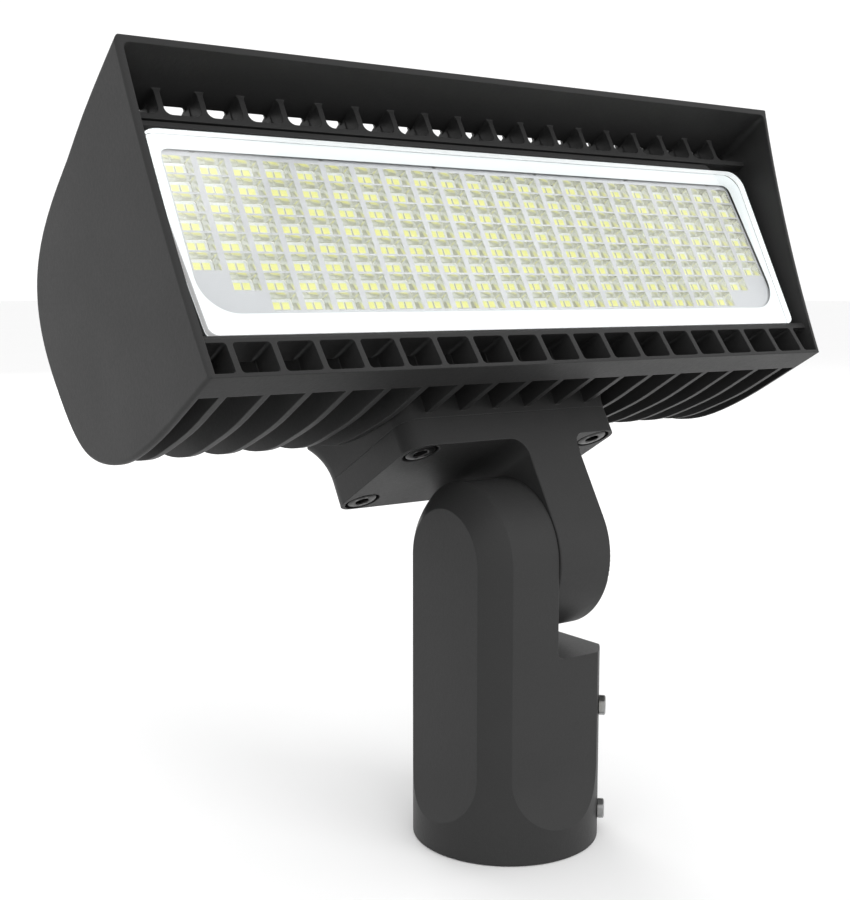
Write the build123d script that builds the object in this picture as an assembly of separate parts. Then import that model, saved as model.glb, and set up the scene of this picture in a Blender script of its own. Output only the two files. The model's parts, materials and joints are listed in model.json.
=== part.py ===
from build123d import *
import math
import os

# Flood light: a finned cast head on a tilting knuckle that clamps on a pole tenon.
# Millimetres, +Z up. The light faces -Y and is tilted up at rest.
# The origin is on the barrel's axis, at its bottom mouth.

# Slipfitter
tenon_diameter = 60.3
tenon_clearance = 0.6
barrel_wall = 10.25
front_flat_depth = 7.6
side_flat_depth = 7.0
flat_rise = 13.0
tenon_bore_depth = 74.0
shelf_height = 84.0
pivot_height = 124.6
lug_face = 1.0
shelf_corner = 3.5
wire_pocket_depth = 32.0
wire_pocket_length = 38.0
wire_pocket_thickness = 18.0
wire_pocket_wall = 6.0

# Knuckle
rest_tilt = 30.0
knuckle_gap = 0.3
arm_thickness = 28.5
arm_edge_radius = 0.6
web_inner_radius = 8.0
web_outer_radius = 5.0
wire_hole_radius = 5.5
wire_circle_radius = 20.0
channel_width = 13.0
channel_depth = 9.0
seal_radius = 30.0
seal_width = 2.0
seal_depth = 1.5
friction_washer_radius = 12.6
friction_washer_thickness = 1.5
pivot_bolt_radius = 6.0
pivot_bolt_length = 45.0
pivot_head_flats = 18.0
pivot_head_height = 7.5
pivot_recess_depth = 8.0
washer_thickness = 2.0
washer_radius = 12.0
spring_washer_radius = 10.5
insert_radius = 9.5
insert_length = 20.0
running_gap = 0.05
loose_gap = 0.3

# Clamp screws on the barrel's round strips
clamp_screw_radius = 2.5
clamp_head_flats = 8.0
clamp_head_height = 2.9
clamp_screw_heights = (11.6, 58.5)
clamp_screw_azimuths = (-45.0, 45.0)

# Square plate above the arm and its bolts
plate_width = 115.0
plate_depth = 68.4
plate_thickness = 12.0
plate_corner = 8.5
plate_drop = 40.0
bolt_spacing_x = 95.2
bolt_spacing_y = 51.0
bolt_radius = 4.0
bolt_length = 20.0
bolt_head_radius = 6.5
bolt_head_height = 8.0
bolt_socket_flats = 6.0
bolt_socket_depth = 4.0
bolt_washer_radius = 7.4
bolt_washer_thickness = 2.0
counterbore_radius = 8.0
counterbore_depth = 10.0
bolt_hole_depth = 18.0

# Head casting, seen from the middle of the pad that the plate closes
side_half_width = 166.3
side_middle = 65.1
side_lean = 5.0
side_wall = 2.5
outer_edge_radius = 1.5
head_floor = 2.3
rim_foot_y = -75.5
rim_bow = 2.6
heel_y = -40.0
visor_tip_y = -94.5
visor_tip_rise = 2.2
visor_thickness = 2.4
hood_corner = 2.4
visor_rear_y = -63.7
lattice_height = 11.3
fin_count = 18
fin_margin = 17.38
fin_thickness = 3.0
fin_inset = 1.0
rib_thickness = 2.3
lattice_corner = 3.0
vent_corner = 1.5
overlap = 1.0
rail_foot_y = -75.7
rail_top_y = -73.5
rail_bevel = 1.5
rail_rear_y = -59.7
rail_floor = 1.5
vent_height = 12.8
back_wall = 4.0

# Side view of the head behind its heel: how far back, and how far above the floor
back_low_points = ((-12.0, 1.5), (6.0, 4.8), (20.0, 10.3), (36.0, 22.7), (43.0, 51.7))
# The same view from the back up to the visor: how far back, and how far below the visor's top
back_high_points = ((39.0, 40.0), (28.0, 24.5), (-30.0, 6.0))

# Optics, from the front to the back
glass_front_y = -72.7
glass_thickness = 3.2
glass_floor = 20.0
glass_height = 85.6
glass_side_inset = 8.0
glass_top_corner = 9.0
glass_bottom_corner = 3.5
enamel_thickness = 0.2
window_margin = 13.5
window_height = 69.0
window_floor = 30.1
window_top_corner = 4.0
window_bottom_corner = 15.0
gasket_thickness = 2.0
gasket_overhang = 1.0
strip_height = 2.1
strip_proud = 0.5
strip_margin = 26.3
groove_height = 1.5
ledge_height = 2.4
tray_margin = 13.5
tray_height = 80.2
tray_thickness = 4.1
tray_proud = 1.0
tray_floor = 22.9
tray_top_corner = 3.7
tray_bottom_corner = 7.7
cell_columns = 22
cell_rows = 8
cell_pitch_z = 8.238
cell_wall = 2.56
cell_height = 7.4
cell_taper = 13.0
cell_centre_z = 64.5
board_thickness = 1.6
package_size = 3.3
package_height = 0.7
package_spacing = 3.9
pad_thickness = 0.5
board_screw_radius = 1.25
board_screw_length = 7.5
board_screw_head_radius = 1.95
board_screw_head_height = 1.5
board_screw_inset = 2.4
board_screw_cells = (-10, -6, -2, 2, 6, 10)

# Pad and driver chamber
flare_radius = 22.0
flare_height = 17.0
chamber_width = 77.0
chamber_depth = 52.0
chamber_height = 86.0
chamber_wall = 4.0
duct_width = 17.5
duct_height = 14.0
duct_bore_radius = 4.0
pad_gasket_width = 2.5
pad_gasket_thickness = 1.5
pad_gasket_margin = 1.0
driver_width = 66.0
driver_thickness = 32.0
driver_height = 60.0
driver_lift = 22.0
driver_edge = 2.0
bracket_thickness = 2.0
bracket_foot = 8.0
bracket_rear_gap = 0.5
bracket_screw_radius = 2.0
bracket_screw_length = 8.0
bracket_screw_head_radius = 3.0
bracket_screw_head_height = 2.2
bracket_screw_spacing = 48.0
driver_screw_radius = 1.5
driver_screw_length = 7.0
driver_screw_head_radius = 2.75
driver_screw_head_height = 1.8
driver_screw_margin = 6.0
terminal_width = 30.0
terminal_height = 12.0
terminal_thickness = 12.0
terminal_poles = 3
terminal_hole_radius = 2.2
terminal_hole_depth = 8.0

# Worked out from the sizes above
bore_radius = tenon_diameter / 2 + tenon_clearance
barrel_radius = bore_radius + barrel_wall
lug_half_depth = barrel_radius - front_flat_depth
fin_pitch = 2 * (side_half_width - fin_margin) / (fin_count - 1)
tray_width = 2 * (side_half_width - tray_margin)
window_width = 2 * (side_half_width - window_margin)
strip_end_x = side_half_width - strip_margin
cell_pitch_x = tray_width / cell_columns
cell_width = cell_pitch_x - cell_wall
pad_height = plate_drop + plate_thickness
arm_radius = plate_depth / 2
arm_left = lug_face + knuckle_gap
arm_right = arm_left + arm_thickness
pivot_recess_x = arm_right - pivot_recess_depth
bolt_seat_x = pivot_recess_x + 2 * washer_thickness
insert_x = lug_face - friction_washer_thickness + knuckle_gap
vent_floor = head_floor + rail_floor
rail_top = glass_floor - loose_gap
glass_top = glass_floor + glass_height
strip_floor = glass_top + loose_gap
pocket_top = strip_floor + strip_height + groove_height
frame_top = pocket_top + ledge_height
visor_top = frame_top + lattice_height + visor_thickness
glass_back_y = glass_front_y + glass_thickness
enamel_back_y = glass_back_y + enamel_thickness
pocket_y = enamel_back_y + gasket_thickness
tray_front_y = pocket_y - tray_proud
tray_back_y = tray_front_y + tray_thickness
board_back_y = tray_back_y + board_thickness
recess_y = board_back_y + pad_thickness
frame_back_y = recess_y + back_wall
bracket_foot_y = chamber_depth / 2 - bracket_rear_gap - bracket_foot
bracket_back_y = bracket_foot_y + bracket_thickness
driver_front_y = bracket_foot_y - driver_thickness
far = 2 * side_half_width


def box_between(x0, x1, y0, y1, z0, z1):
    """Box between two corners."""
    return Pos((x0 + x1) / 2, (y0 + y1) / 2, (z0 + z1) / 2) * Box(x1 - x0, y1 - y0, z1 - z0)


def front_prism(sketch, y0, y1):
    """Prism of a sketch drawn in X and Z, from y0 back to y1."""
    return extrude(Plane.XZ.offset(-y1) * sketch, amount=y1 - y0)


def side_prism(sketch, x0, x1):
    """Prism of a sketch drawn in Y and Z, from x0 to x1."""
    return extrude(Plane.YZ.offset(x0) * sketch, amount=x1 - x0)


def rod_x(radius, x0, x1, y=0.0, z=0.0):
    """Round rod along X."""
    return Pos(0, y, z) * side_prism(Circle(radius), x0, x1)


def rod_y(radius, y0, y1, x=0.0, z=0.0):
    """Round rod along Y."""
    return Pos(x, 0, z) * front_prism(Circle(radius), y0, y1)


def rod_z(radius, z0, z1, x=0.0, y=0.0):
    """Round rod along Z."""
    return Pos(x, y, z0) * extrude(Circle(radius), amount=z1 - z0)


def ring_x(outer, inner, x0, x1):
    """Flat ring about the X axis."""
    return side_prism(Circle(outer) - Circle(inner), x0, x1)


def hexagon(flats):
    """Hexagon by its width across flats."""
    return RegularPolygon(flats / 2, 6, major_radius=False)


def quadrilateral(bottom_half, top_half, z0, z1, bottom_corner, top_corner):
    """Symmetric four-sided face in X and Z with rounded corners."""
    corners = [(-bottom_half, z0), (bottom_half, z0), (top_half, z1), (-top_half, z1)]
    face = make_face(Polyline(*corners, close=True))
    face = fillet(face.vertices().sort_by(Axis.Y)[:2], bottom_corner)
    return fillet(face.vertices().sort_by(Axis.Y)[-2:], top_corner)


def side_half_width_at(z):
    """Half the head's outer width at a height above the pad."""
    return side_half_width + math.tan(math.radians(side_lean)) * (z - side_middle)


def between_sides(solid, inset):
    """The part of a solid between the two leaning side planes, moved in by the inset."""
    lean = math.radians(side_lean)
    for side in (1, -1):
        plane = Plane(
            origin=(side * side_half_width, 0, side_middle),
            x_dir=(0, 1, 0),
            z_dir=(side * math.cos(lean), 0, -math.sin(lean)),
        )
        solid = split(solid, bisect_by=plane.offset(-inset), keep=Keep.BOTTOM)
    return solid


def inset_points(points, inset):
    """Every point but the two ends, moved to the left of the line through its neighbours."""
    moved = []
    for before, here, after in zip(points, points[1:], points[2:]):
        run_y = after[0] - before[0]
        run_z = after[1] - before[1]
        run = math.hypot(run_y, run_z)
        moved.append((here[0] - inset * run_z / run, here[1] + inset * run_y / run))
    return moved


def head_outline(inset=0.0):
    """Side view of the head: flat floor, round back, sloping top and bowed front rim.

    The inset moves in the back and the top, and leaves the floor and the rim's foot.
    """
    foot = (rim_foot_y, head_floor)
    heel = (heel_y, head_floor)
    tip = (visor_tip_y, visor_top + visor_tip_rise - inset)
    rim = ((foot[0] + tip[0]) / 2 + rim_bow, (foot[1] + tip[1]) / 2)
    back_points = [(y, head_floor + rise) for y, rise in back_low_points]
    back_points += [(y, visor_top - drop) for y, drop in back_high_points]
    inner_points = inset_points([heel, *back_points, tip], inset)
    back = Spline(heel, *inner_points, tip, tangents=[(1, 0), (-1, 0.08)])
    return make_face([Line(foot, heel), back.edge(), ThreePointArc(tip, rim, foot)])


def fin_positions():
    """X of every fin."""
    return [(k - (fin_count - 1) / 2) * fin_pitch for k in range(fin_count)]


def gaps_between_fins():
    """X of the middle of each gap between two fins."""
    fins = fin_positions()
    return [(a + b) / 2 for a, b in zip(fins, fins[1:])]


def openings(z0, z1, corner, inner):
    """Rounded openings between the ribs, and one at each end that reaches the side plate."""
    height = z1 - z0
    middle = (z0 + z1) / 2
    window = front_prism(RectangleRounded(fin_pitch - rib_thickness, height, corner), visor_tip_y, 0.0)
    cutters = [Pos(x, 0, middle) * window for x in gaps_between_fins()]
    edge = fin_positions()[-1] + rib_thickness / 2
    end_window = front_prism(RectangleRounded(2 * fin_pitch, height, corner), visor_tip_y, 0.0)
    for side in (1, -1):
        cutters.append((Pos(side * (edge + fin_pitch), 0, middle) * end_window) & inner)
    return cutters


def visor_slots():
    """Slots between the fins behind the visor, rounded where they meet it."""
    length = -visor_rear_y + lattice_corner
    slot = extrude(RectangleRounded(fin_pitch - fin_thickness, length, lattice_corner), amount=far)
    return [Pos(x, visor_rear_y + length / 2, frame_top) * slot for x in gaps_between_fins()]


def fins():
    """Parallel fins, level with the side plates at the heel and a little inside them at the back."""
    rail_y = rail_rear_y - overlap
    visor_y = visor_rear_y - overlap
    embedded_y = frame_back_y - back_wall / 2
    reach = Polyline(
        (rail_y, head_floor),
        (rail_y, rail_top - overlap),
        (embedded_y, rail_top),
        (embedded_y, pocket_top),
        (visor_y, frame_top - overlap),
        (visor_y, visor_top + visor_tip_rise),
        (far, visor_top + visor_tip_rise),
        (far, head_floor),
        close=True,
    )
    profile = head_outline(fin_inset) & make_face(reach)
    half = fin_thickness / 2
    return [side_prism(profile, x - half, x + half) for x in fin_positions()]


def flared_pad():
    """Pad under the head: square at the plate, its sides flare out to the next fins."""
    steps = 4
    sections = []
    for k in range(steps + 1):
        z = flare_height * k / steps
        flare = flare_radius - math.sqrt(flare_radius**2 - z**2)
        sections.append(Pos(0, 0, z) * RectangleRounded(plate_width + 2 * flare, plate_depth, plate_corner))
    return loft(sections)


def bolt_places():
    """X and Y of the four plate bolts."""
    half_x = bolt_spacing_x / 2
    half_y = bolt_spacing_y / 2
    return [(x, y) for x in (-half_x, half_x) for y in (-half_y, half_y)]


def board_screw_places():
    """X and Z of the screws that hold the tray and the board."""
    low = tray_floor + board_screw_inset
    high = tray_floor + tray_height - board_screw_inset
    return [(cells * cell_pitch_x, z) for cells in board_screw_cells for z in (low, high)]


def pad_gasket_face(width):
    """Rectangular ring round the chamber's mouth."""
    inner_x = chamber_width + 2 * pad_gasket_margin
    inner_y = chamber_depth + 2 * pad_gasket_margin
    return Rectangle(inner_x + 2 * width, inner_y + 2 * width) - Rectangle(inner_x, inner_y)


def tray_face(grow):
    """Outline of the tray, larger by a clearance all round."""
    half = tray_width / 2 + grow
    return quadrilateral(
        half,
        half,
        tray_floor - grow,
        tray_floor + tray_height + grow,
        tray_bottom_corner + grow,
        tray_top_corner + grow,
    )


def front_frame(hull, inner):
    """Lattice above the optics, wall round them and the vented rail below."""
    vent_top = vent_floor + vent_height
    lattice = hull & box_between(-far, far, glass_front_y, visor_rear_y, pocket_top, far)
    lattice -= openings(frame_top, visor_top - visor_thickness / 2, lattice_corner, inner)

    frame = hull & box_between(-far, far, glass_front_y, frame_back_y, vent_top, frame_top)
    frame -= inner & box_between(-far, far, visor_tip_y, pocket_y, rail_top, pocket_top)
    frame -= front_prism(tray_face(loose_gap), visor_tip_y, recess_y)

    rail_outline = Polyline(
        (rail_foot_y, head_floor),
        (rail_top_y, rail_top - rail_bevel),
        (glass_front_y, rail_top),
        (rail_rear_y, rail_top),
        (rail_rear_y, head_floor),
        close=True,
    )
    rail = between_sides(side_prism(make_face(rail_outline), -far, far), side_wall / 2)
    rail -= openings(vent_floor, vent_top, vent_corner, inner)
    rail -= box_between(-far, far, pocket_y, 0.0, rail_top - loose_gap, far)
    return frame + [lattice, rail]


def driver_chamber():
    """Box behind the optics that holds the driver, with the duct for the board's wires."""
    box = box_between(
        -chamber_width / 2 - chamber_wall,
        chamber_width / 2 + chamber_wall,
        -chamber_depth / 2 - chamber_wall,
        chamber_depth / 2 + chamber_wall,
        flare_height / 2,
        chamber_height + chamber_wall,
    )
    duct = box_between(
        -duct_width / 2,
        duct_width / 2,
        frame_back_y - back_wall / 2,
        -chamber_depth / 2,
        cell_centre_z - duct_height / 2,
        cell_centre_z + duct_height / 2,
    )
    return box + [duct, flared_pad()]


def housing():
    """Head casting."""
    block = side_prism(head_outline(), -far, far)
    hull = between_sides(block, 0.0)
    sides = hull.faces().sort_by(Axis.X)
    hull = fillet(sides[0].edges() + sides[-1].edges(), outer_edge_radius)
    inner = between_sides(block, side_wall)
    side_plates = hull - inner

    visor = hull & box_between(-far, far, visor_tip_y - far, visor_rear_y + lattice_corner, frame_top, far)
    hollow = between_sides(Pos(0, 0, -visor_thickness) * block, side_wall)
    hollow_sides = hollow.faces().sort_by(Axis.X)
    top_edges = [side.edges().sort_by(Axis.Z)[-1] for side in (hollow_sides[0], hollow_sides[-1])]
    visor -= fillet(top_edges, hood_corner)
    visor -= visor_slots()

    casting = front_frame(hull, inner) + ([visor, driver_chamber()] + side_plates.solids() + fins())

    half_x = chamber_width / 2
    half_y = chamber_depth / 2
    cutters = [
        box_between(-half_x, half_x, -half_y, half_y, -far, chamber_height),
        rod_y(duct_bore_radius, recess_y - running_gap, -half_y + running_gap, 0.0, cell_centre_z),
        extrude(pad_gasket_face(pad_gasket_width), amount=pad_gasket_thickness),
    ]
    for x, y in bolt_places():
        cutters.append(rod_z(bolt_radius + running_gap, -bolt_length, bolt_hole_depth, x, y))
    end = tray_front_y + board_screw_head_height + board_screw_length + loose_gap
    for x, z in board_screw_places():
        cutters.append(rod_y(board_screw_radius + running_gap, visor_tip_y, end, x, z))
    return casting - cutters


def glass_face(inset):
    """Outline of the pane, smaller by an inset all round."""
    z0 = glass_floor + inset
    z1 = glass_top - inset
    low = side_half_width_at(z0) - glass_side_inset - inset
    high = side_half_width_at(z1) - glass_side_inset - inset
    return quadrilateral(low, high, z0, z1, glass_bottom_corner, glass_top_corner)


def glass_lens():
    """Flat pane."""
    return front_prism(glass_face(0.0), glass_front_y, glass_back_y)


def glass_enamel_border():
    """White print on the pane's inner face, open at the window."""
    half = window_width / 2
    window = quadrilateral(
        half,
        half,
        window_floor,
        window_floor + window_height,
        window_bottom_corner,
        window_top_corner,
    )
    return front_prism(glass_face(running_gap) - window, glass_back_y, enamel_back_y)


def glass_gasket():
    """Flat seal between the pane and the casting, a little wider than the pane."""
    low = side_half_width_at(glass_floor) - glass_side_inset + gasket_overhang
    high = side_half_width_at(glass_top) - glass_side_inset + gasket_overhang
    outer = quadrilateral(low, high, glass_floor, glass_top, glass_bottom_corner, glass_top_corner)
    return front_prism(outer - tray_face(loose_gap), enamel_back_y, pocket_y)


def glass_retaining_strip():
    """Bar above the pane, cut off at a slant before the right-hand corner."""
    top = strip_floor + strip_height
    left = side_half_width_at(strip_floor) - side_wall - loose_gap
    slant_x = strip_end_x - strip_height
    corners = [(-left, strip_floor), (strip_end_x, strip_floor), (slant_x, top), (-left, top)]
    face = make_face(Polyline(*corners, close=True))
    return front_prism(face, glass_front_y - strip_proud, pocket_y)


def cell_places():
    """X and Z of every cell: the rows step in at the two lower corners."""
    places = []
    for column in range(cell_columns):
        from_edge = min(column, cell_columns - 1 - column)
        for row in range(max(0, 2 - from_edge), cell_rows):
            x = (column - (cell_columns - 1) / 2) * cell_pitch_x
            z = cell_centre_z + (row - (cell_rows - 1) / 2) * cell_pitch_z
            places.append((x, z))
    return places


def reflector_grid():
    """Tray of tapered cells over the packages."""
    tray = front_prism(tray_face(0.0), tray_front_y, tray_back_y)
    mouth = Plane.XZ.offset(-tray_front_y) * Rectangle(cell_width, cell_height)
    cell = extrude(mouth, amount=-tray_thickness, taper=cell_taper)
    cutters = [Pos(x, 0, z) * cell for x, z in cell_places()]
    for x, z in board_screw_places():
        seat = tray_front_y + board_screw_head_height
        cutters.append(rod_y(board_screw_head_radius + 2 * running_gap, tray_front_y, seat, x, z))
        cutters.append(rod_y(board_screw_radius + running_gap, tray_front_y, tray_back_y, x, z))
    return tray - cutters


def board_layer(y0, y1):
    """Flat layer of the tray's outline with its screw and wire holes."""
    face = tray_face(0.0)
    for x, z in board_screw_places():
        face -= Pos(x, z) * Circle(board_screw_radius + running_gap)
    return front_prism(face, y0, y1)


def led_board():
    """Board that carries the packages."""
    return board_layer(tray_back_y, board_back_y)


def thermal_pad():
    """Soft sheet between the board and the casting, open over the wire duct."""
    sheet = board_layer(board_back_y, recess_y)
    return sheet - rod_y(duct_bore_radius, board_back_y - 1, recess_y + 1, 0.0, cell_centre_z)


def led_packages():
    """Two packages at the middle of each cell."""
    half = package_size / 2
    package = box_between(-half, half, tray_back_y - package_height, tray_back_y, -half, half)
    packages = []
    for x, z in cell_places():
        for side in (-1, 1):
            packages.append(Pos(x + side * package_spacing / 2, 0, z) * package)
    return Compound(children=packages)


def board_screws():
    """Low-head screws through the tray and the board."""
    seat = tray_front_y + board_screw_head_height
    screw = rod_y(board_screw_head_radius, tray_front_y, seat)
    screw += rod_y(board_screw_radius, seat, seat + board_screw_length)
    return Compound(children=[Pos(x, 0, z) * screw for x, z in board_screw_places()])


def driver_screw_places():
    """X and Z of the screws that hold the driver to its bracket."""
    half = driver_width / 2 - driver_screw_margin
    low = driver_lift + driver_screw_margin
    high = driver_lift + driver_height - driver_screw_margin
    return [(x, z) for x in (-half, half) for z in (low, high)]


def led_driver():
    """Closed case of the power supply."""
    case = box_between(
        -driver_width / 2,
        driver_width / 2,
        driver_front_y,
        bracket_foot_y,
        driver_lift,
        driver_lift + driver_height,
    )
    case = fillet(case.edges().filter_by(Axis.Z), driver_edge)
    depth = driver_screw_length - bracket_thickness + loose_gap
    for x, z in driver_screw_places():
        case -= rod_y(driver_screw_radius + running_gap, bracket_foot_y - depth, bracket_foot_y, x, z)
    return case


def driver_bracket():
    """Angle that stands on the plate and carries the driver."""
    half = driver_width / 2
    upright = box_between(-half, half, bracket_foot_y, bracket_back_y, 0.0, driver_lift + driver_height)
    foot = box_between(-half, half, bracket_foot_y, bracket_foot_y + bracket_foot, 0.0, bracket_thickness)
    bracket = upright + foot
    for x, z in driver_screw_places():
        bracket -= rod_y(driver_screw_radius + running_gap, bracket_foot_y, bracket_back_y, x, z)
    for x, y in bracket_screw_places():
        bracket -= rod_z(bracket_screw_radius + running_gap, 0.0, bracket_thickness, x, y)
    return bracket


def driver_screws():
    """Screws through the bracket into the driver."""
    screw = rod_y(driver_screw_radius, bracket_back_y - driver_screw_length, bracket_back_y)
    screw += rod_y(driver_screw_head_radius, bracket_back_y, bracket_back_y + driver_screw_head_height)
    return Compound(children=[Pos(x, 0, z) * screw for x, z in driver_screw_places()])


def bracket_screw_places():
    """X and Y of the screws through the bracket's foot."""
    y = (bracket_back_y + bracket_foot_y + bracket_foot) / 2
    return [(-bracket_screw_spacing / 2, y), (bracket_screw_spacing / 2, y)]


def bracket_screws():
    """Screws through the bracket's foot into the plate."""
    top = bracket_thickness
    screw = rod_z(bracket_screw_radius, top - bracket_screw_length, top)
    screw += rod_z(bracket_screw_head_radius, top, top + bracket_screw_head_height)
    return Compound(children=[Pos(x, y, 0) * screw for x, y in bracket_screw_places()])


def terminal_block():
    """Wire terminals on the bracket, under the driver."""
    z0 = (driver_lift - terminal_height) / 2
    block = box_between(
        -terminal_width / 2,
        terminal_width / 2,
        bracket_foot_y - terminal_thickness,
        bracket_foot_y,
        z0,
        z0 + terminal_height,
    )
    front_y = bracket_foot_y - terminal_thickness
    pitch = terminal_width / terminal_poles
    for pole in range(terminal_poles):
        x = (pole - (terminal_poles - 1) / 2) * pitch
        z = z0 + terminal_height / 2
        block -= rod_y(terminal_hole_radius, front_y, front_y + terminal_hole_depth, x, z)
    return block


def pad_gasket():
    """Seal in the groove round the chamber's mouth."""
    return extrude(pad_gasket_face(pad_gasket_width), amount=pad_gasket_thickness)


def tilt_arm():
    """Square plate with the round-ended arm under its right half, from the pivot up."""
    plate = Pos(0, 0, plate_drop) * extrude(
        RectangleRounded(plate_width, plate_depth, plate_corner), amount=plate_thickness
    )
    arm_face = Circle(arm_radius) + Pos(0, plate_drop / 2) * Rectangle(2 * arm_radius, plate_drop)
    arm = side_prism(arm_face, arm_left, arm_right)
    round_edges = arm.edges().filter_by(GeomType.CIRCLE)
    arm = fillet(round_edges + arm.edges().filter_by(Axis.Z), arm_edge_radius)
    body = plate + (arm + box_between(
        arm_left, arm_right, -arm_radius, arm_radius, plate_drop - web_inner_radius, plate_drop + overlap
    ))
    for corner_x, radius in ((arm_left, web_inner_radius), (arm_right, web_outer_radius)):
        corner = Vector(corner_x, 0.0, plate_drop)
        edges = body.edges().filter_by(Axis.Y)
        body = fillet(edges.sort_by(lambda edge: (edge.center() - corner).length)[0], radius)

    wire_x = arm_left + channel_depth
    cutters = [
        ring_x(
            wire_circle_radius + channel_width / 2,
            wire_circle_radius - channel_width / 2,
            arm_left,
            arm_left + channel_depth,
        ),
        rod_z(wire_hole_radius, wire_circle_radius, pad_height, wire_x, 0.0),
        rod_x(pivot_bolt_radius + running_gap, arm_left, arm_right),
        rod_x(washer_radius + loose_gap, pivot_recess_x, arm_right),
    ]
    for x, y in bolt_places():
        cutters.append(rod_z(bolt_radius + loose_gap, plate_drop, pad_height, x, y))
        cutters.append(rod_z(counterbore_radius, 0.0, plate_drop + counterbore_depth, x, y))
    for x, y in bracket_screw_places():
        depth = bracket_screw_length - bracket_thickness + loose_gap
        cutters.append(rod_z(bracket_screw_radius + running_gap, pad_height - depth, pad_height, x, y))
    return body - cutters


def plate_bolts():
    """Hexagon-socket bolts from below through the plate into the pad."""
    seat = plate_drop + counterbore_depth - bolt_washer_thickness
    bolt = rod_z(bolt_head_radius, seat - bolt_head_height, seat)
    bolt += rod_z(bolt_radius, seat, seat + bolt_length)
    bolt -= Pos(0, 0, seat - bolt_head_height) * extrude(hexagon(bolt_socket_flats), amount=bolt_socket_depth)
    return Compound(children=[Pos(x, y, 0) * bolt for x, y in bolt_places()])


def plate_bolt_washers():
    """Washers under the plate bolts' heads."""
    seat = plate_drop + counterbore_depth
    washer = rod_z(bolt_washer_radius, seat - bolt_washer_thickness, seat)
    washer -= rod_z(bolt_radius + running_gap, seat - bolt_washer_thickness, seat)
    return Compound(children=[Pos(x, y, 0) * washer for x, y in bolt_places()])


def pivot_bolt():
    """Hexagon bolt through the arm into the lug."""
    head = side_prism(hexagon(pivot_head_flats), bolt_seat_x, bolt_seat_x + pivot_head_height)
    return head + rod_x(pivot_bolt_radius, bolt_seat_x - pivot_bolt_length, bolt_seat_x)


def pivot_washer():
    """Flat washer against the arm."""
    return ring_x(
        washer_radius,
        pivot_bolt_radius + running_gap,
        pivot_recess_x,
        pivot_recess_x + washer_thickness,
    )


def pivot_spring_washer():
    """Spring washer between the flat washer and the bolt's head."""
    return ring_x(
        spring_washer_radius,
        pivot_bolt_radius + running_gap,
        pivot_recess_x + washer_thickness,
        bolt_seat_x,
    )


def thread_insert():
    """Steel thread in the lug for the pivot bolt."""
    return ring_x(insert_radius, pivot_bolt_radius + running_gap, insert_x - insert_length, insert_x)


def friction_washer():
    """Disc between the lug and the arm."""
    return ring_x(friction_washer_radius, pivot_bolt_radius + running_gap, insert_x, arm_left)


def knuckle_seal():
    """Seal round the wire way, in the lug's groove."""
    half = seal_width / 2
    return ring_x(seal_radius + half, seal_radius - half, lug_face - seal_depth, arm_left)


def flat_cutter(offset_x):
    """Cutter for a flat whose foot runs out to the barrel's round wall, to be turned about its axis."""
    start = (offset_x, flat_rise + math.sqrt(barrel_radius**2 - offset_x**2))
    centre_x = offset_x + barrel_radius
    end = (centre_x, start[1] - barrel_radius)
    lean = math.radians(45)
    middle = (centre_x - barrel_radius * math.cos(lean), start[1] - barrel_radius * math.sin(lean))
    sides = Polyline(end, (centre_x, far), (offset_x, far), start)
    return front_prism(make_face(ThreePointArc(start, middle, end) + sides), -barrel_radius, barrel_radius)


def slipfitter_body():
    """Barrel over the tenon with the lug of the knuckle on top."""
    pivot = Pos(0, 0, pivot_height)
    left = side_flat_depth - barrel_radius
    body = rod_z(barrel_radius, 0.0, pivot_height)
    body -= [Rot(0, 0, turn) * flat_cutter(lug_half_depth) for turn in (90, -90, 0)]
    body -= Rot(0, 0, 180) * flat_cutter(-left)
    beside_lug = box_between(lug_face, far, -far, far, shelf_height, far)
    shelf_edge = beside_lug.edges().filter_by(Axis.Y).group_by(Axis.Z)[0].sort_by(Axis.X)[0]
    body -= fillet(shelf_edge, shelf_corner)
    flat_radius = math.sqrt(barrel_radius**2 - left**2)
    shoulder_x = -math.sqrt(barrel_radius**2 - lug_half_depth**2)
    bisector = math.atan2(flat_radius + lug_half_depth, left + shoulder_x)
    shoulder = (barrel_radius * math.cos(bisector), barrel_radius * math.sin(bisector))
    crown_start = (shoulder_x, lug_half_depth)
    crown_end = (left, flat_radius)
    crown_base = Polyline(crown_start, (lug_face, lug_half_depth), (lug_face, 0), (left, 0), crown_end)
    crown = make_face(crown_base + ThreePointArc(crown_end, shoulder, crown_start))
    body += pivot * revolve(crown, Axis.X, 180)

    pocket_top_z = tenon_bore_depth + wire_pocket_length
    pocket_left = lug_face - wire_pocket_wall - wire_pocket_thickness
    half_pocket = wire_pocket_depth / 2
    cutters = [
        rod_z(bore_radius, 0.0, tenon_bore_depth),
        box_between(
            pocket_left,
            pocket_left + wire_pocket_thickness,
            -half_pocket,
            half_pocket,
            tenon_bore_depth,
            pocket_top_z,
        ),
        pivot * rod_x(wire_hole_radius, pocket_left + 1, lug_face, 0.0, -wire_circle_radius),
        pivot * rod_x(insert_radius, insert_x - insert_length, lug_face),
        pivot * rod_x(friction_washer_radius + loose_gap, insert_x, lug_face),
        pivot * rod_x(pivot_bolt_radius + loose_gap, bolt_seat_x - pivot_bolt_length - 1, lug_face),
        pivot * ring_x(
            seal_radius + seal_width / 2, seal_radius - seal_width / 2, lug_face - seal_depth, lug_face
        ),
    ]
    for place in clamp_screw_places():
        cutters.append(place * rod_x(clamp_screw_radius + running_gap, 0.0, 2 * barrel_radius))
    return body - cutters


def clamp_screw_places():
    """Where each clamp screw's axis leaves the barrel's axis."""
    return [Pos(0, 0, z) * Rot(0, 0, turn) for turn in clamp_screw_azimuths for z in clamp_screw_heights]


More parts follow.
